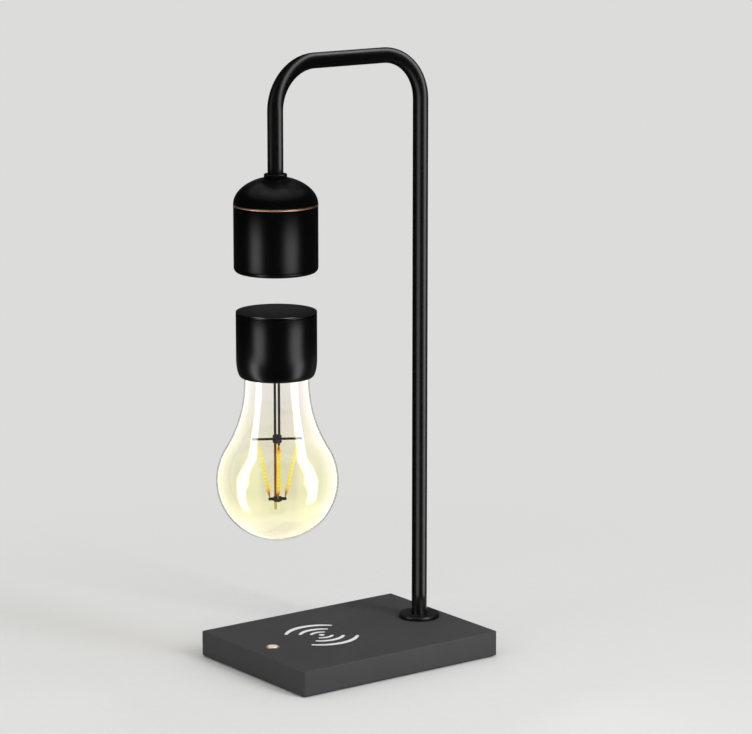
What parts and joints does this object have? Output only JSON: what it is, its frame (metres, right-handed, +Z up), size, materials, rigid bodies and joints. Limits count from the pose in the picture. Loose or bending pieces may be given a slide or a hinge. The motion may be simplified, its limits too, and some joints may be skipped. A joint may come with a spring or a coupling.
{
  "type": "levitating table lamp",
  "caption": "Table lamp whose light bulb floats in the air below a magnet head on a bent tube, above a flat charging base with a push button.",
  "frame": {"origin": "centre of the anti-slip pad's underside, where the lamp stands", "axes": "+X along the base from the button end to the post, +Y across the base towards the side of the power inlet, +Z up"},
  "size_m": [0.1729, 0.116, 0.3972],
  "materials": {
    "housing_plastic": "charcoal moulded plastic with a fine even texture",
    "cover_plastic": "black moulded plastic",
    "pad_rubber": "matt black anti-slip sheet",
    "plain_steel": "zinc-plated steel",
    "copper_winding": "enamelled copper wire",
    "ferrite": "dark sintered ferrite",
    "circuit_board": "green glass-fibre board",
    "inner_plastic": "black moulded plastic",
    "button_plastic": "cream translucent plastic",
    "copper_trim": "polished rose-copper plating",
    "black_painted_metal": "satin black coating",
    "cable_rubber": "black cable sheath",
    "black_gloss_plastic": "semi-gloss black plastic",
    "tinted_glass": "thin blown glass with a pale champagne tint",
    "clear_glass": "clear pressed glass",
    "dark_lead_wire": "dark oxidised wire",
    "filament_phosphor": "yellow phosphor coating, lit",
    "magnet_nickel": "nickel-plated magnet"
  },
  "bodies": {
    "stand": {"base_housing": "housing_plastic", "base_cover": "cover_plastic", "ballast_plate": "plain_steel", "anti_slip_pad": "pad_rubber", "base_screw_1": "plain_steel", "base_screw_2": "plain_steel", "base_screw_3": "plain_steel", "base_screw_4": "plain_steel", "charging_coil": "copper_winding", "charging_ferrite": "ferrite", "main_circuit_board": "circuit_board", "dc_jack": "inner_plastic", "button_bezel": "copper_trim", "button_board": "circuit_board", "tact_switch": "inner_plastic", "post_flange": "black_painted_metal", "stem_washer": "plain_steel", "stem_lock_nut": "plain_steel", "stem_tube": "black_painted_metal", "stem_cable": "cable_rubber", "head_collar": "black_painted_metal", "head_dome": "black_gloss_plastic", "head_trim_ring": "copper_trim", "head_sleeve": "black_gloss_plastic", "head_washer": "plain_steel", "head_lock_nut": "plain_steel", "head_circuit_board": "circuit_board", "magnet_core": "plain_steel", "magnet_bobbin": "inner_plastic", "magnet_coil": "copper_winding", "hall_sensor_board": "circuit_board", "power_coil": "copper_winding"},
    "lift": {"lifting_magnet": "magnet_nickel"},
    "bulb": {"bulb_cap_lid": "black_gloss_plastic", "bulb_cap": "black_gloss_plastic", "glass_envelope": "tinted_glass", "glass_stem": "clear_glass", "lead_rod_long": "dark_lead_wire", "lead_rod_short": "dark_lead_wire", "upper_spider": "dark_lead_wire", "lower_hub": "dark_lead_wire", "filament_1": "filament_phosphor", "filament_2": "filament_phosphor", "filament_3": "filament_phosphor", "filament_4": "filament_phosphor", "magnet_carrier": "inner_plastic", "receiver_coil": "copper_winding", "bulb_circuit_board": "circuit_board"},
    "button": {"power_button": "button_plastic", "switch_plunger": "inner_plastic"}
  },
  "joints": [
    {"name": "bulb_lift", "type": "slide", "parent": "stand", "child": "lift", "axis": [0, 0, 1], "range_m": [-0.07, 0.024], "stiffness_N_per_m": 100, "springref_m": 0.01239},
    {"name": "bulb_spin", "type": "hinge", "parent": "lift", "child": "bulb", "pos_m": [-0.0565, 0, 0.1264], "axis": [0, 0, 1], "continuous": true},
    {"name": "button_press", "type": "slide", "parent": "stand", "child": "button", "axis": [0, 0, -1], "range_m": [0, 0.0008], "stiffness_N_per_m": 1200}
  ]
}
